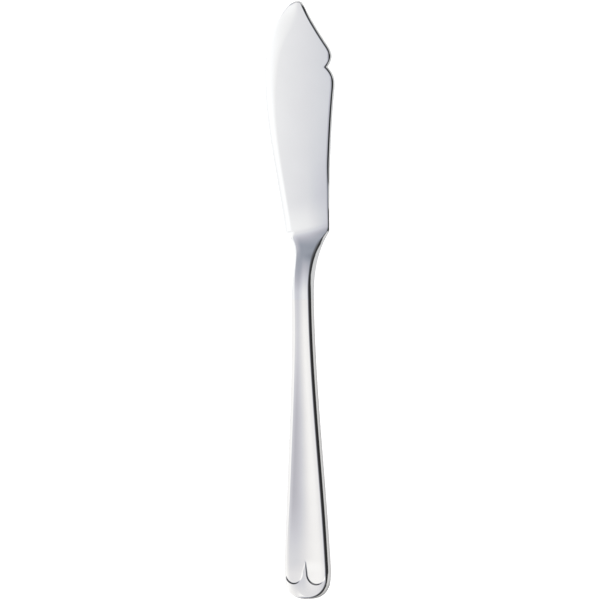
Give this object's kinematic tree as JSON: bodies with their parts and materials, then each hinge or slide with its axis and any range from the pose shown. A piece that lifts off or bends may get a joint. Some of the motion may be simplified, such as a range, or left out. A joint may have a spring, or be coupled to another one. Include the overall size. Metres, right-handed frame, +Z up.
{
  "type": "butter knife",
  "caption": "Butter knife with a broad notched blade, a slim neck and a tapered hollow handle with a scalloped end panel, for spreading and serving butter.",
  "frame": {"origin": "middle of the ground that the knife covers, on the plane that its flat back rests on", "axes": "+Y along the knife to the tip, +X towards the blade's back, +Z up out of the front face"},
  "size_m": [0.0198, 0.17, 0.0052],
  "materials": {
    "polished_steel": "polished",
    "braze_alloy": "polished",
    "set_cement": "matte"
  },
  "bodies": {
    "root": {"blade": "polished_steel", "front_handle_shell": "polished_steel", "rear_handle_shell": "polished_steel", "seam_braze": "braze_alloy", "mouth_braze": "braze_alloy", "handle_cement": "set_cement"}
  },
  "joints": []
}
